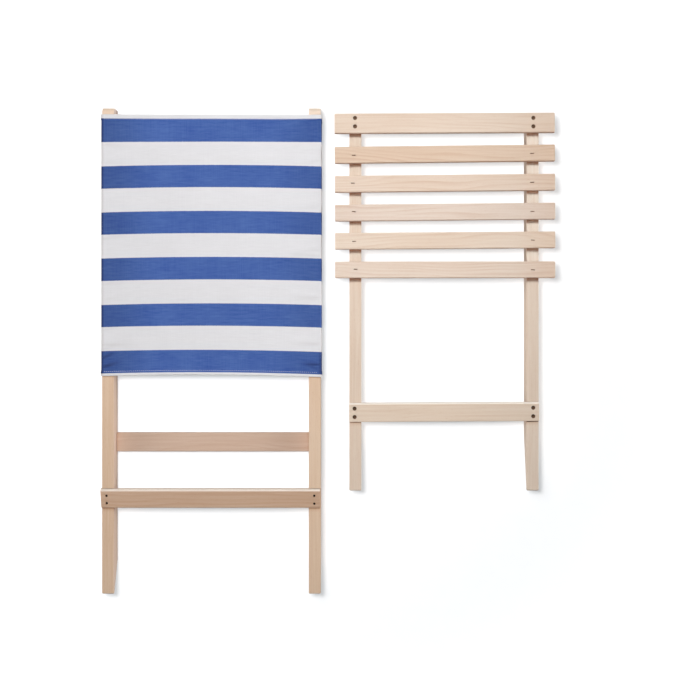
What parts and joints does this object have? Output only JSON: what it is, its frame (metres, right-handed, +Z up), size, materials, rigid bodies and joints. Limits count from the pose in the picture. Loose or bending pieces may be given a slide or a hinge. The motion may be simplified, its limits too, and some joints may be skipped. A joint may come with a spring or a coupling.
{
  "type": "beach chair",
  "caption": "Slot-together wooden beach chair taken apart and laid flat: a striped fabric back half beside a slatted seat half whose legs slide through the back's lower window.",
  "frame": {"origin": "on the floor, under the middle of the whole flat layout", "axes": "+Z up, out of both halves' front faces; +Y along the rails towards the top of the back and the front of the seat; +X from the back half towards the seat half"},
  "size_m": [0.8307, 0.8895, 0.0523],
  "materials": {
    "back_timber": "planed beech, lightly oiled, fine grain along the rail",
    "crossbar_timber": "planed beech, slightly darker boards, grain along the board",
    "seat_timber": "planed pale beech, matt",
    "slat_timber": "planed pale beech slats, matt, grain along the slat",
    "striped_fabric": "woven canvas with broad blue and white cross stripes, hemmed, matt",
    "screw_steel": "dull zinc plate, heads sunk below the timber",
    "staple_wire": "dull galvanised flat wire"
  },
  "bodies": {
    "back_half": {"back_rail_left": "back_timber", "back_rail_right": "back_timber", "back_top_crossbar": "crossbar_timber", "back_middle_crossbar": "crossbar_timber", "back_lower_crossbar": "crossbar_timber", "back_fabric": "striped_fabric", "lower_crossbar_screw_1": "screw_steel", "lower_crossbar_screw_2": "screw_steel", "lower_crossbar_screw_3": "screw_steel", "lower_crossbar_screw_4": "screw_steel", "middle_crossbar_screw_1": "screw_steel", "middle_crossbar_screw_2": "screw_steel", "middle_crossbar_screw_3": "screw_steel", "middle_crossbar_screw_4": "screw_steel", "top_crossbar_screw_1": "screw_steel", "top_crossbar_screw_2": "screw_steel", "top_crossbar_screw_3": "screw_steel", "top_crossbar_screw_4": "screw_steel", "fabric_staple_1": "staple_wire", "fabric_staple_2": "staple_wire", "fabric_staple_3": "staple_wire", "fabric_staple_4": "staple_wire", "fabric_staple_5": "staple_wire", "fabric_staple_6": "staple_wire", "fabric_staple_7": "staple_wire", "fabric_staple_8": "staple_wire", "fabric_staple_9": "staple_wire", "fabric_staple_10": "staple_wire", "fabric_staple_11": "staple_wire", "fabric_staple_12": "staple_wire"},
    "seat_half": {"seat_rail_left": "seat_timber", "seat_rail_right": "seat_timber", "seat_slat_1": "slat_timber", "seat_slat_2": "slat_timber", "seat_slat_3": "slat_timber", "seat_slat_4": "slat_timber", "seat_slat_5": "slat_timber", "seat_slat_6": "slat_timber", "seat_crossbar": "seat_timber", "slat_screw_1": "screw_steel", "slat_screw_2": "screw_steel", "slat_screw_3": "screw_steel", "slat_screw_4": "screw_steel", "seat_crossbar_screw_1": "screw_steel", "seat_crossbar_screw_2": "screw_steel", "seat_crossbar_screw_3": "screw_steel", "seat_crossbar_screw_4": "screw_steel", "slat_staple_1": "staple_wire", "slat_staple_2": "staple_wire", "slat_staple_3": "staple_wire", "slat_staple_4": "staple_wire", "slat_staple_5": "staple_wire", "slat_staple_6": "staple_wire", "slat_staple_7": "staple_wire", "slat_staple_8": "staple_wire", "slat_staple_9": "staple_wire", "slat_staple_10": "staple_wire"}
  },
  "joints": [
    {"name": "turning_over", "type": "hinge", "parent": "back_half", "child": "seat_half", "pos_m": [0.00075, 0, 0.0495], "axis": [0, -1, 0], "range_deg": [0, 180]}
  ]
}
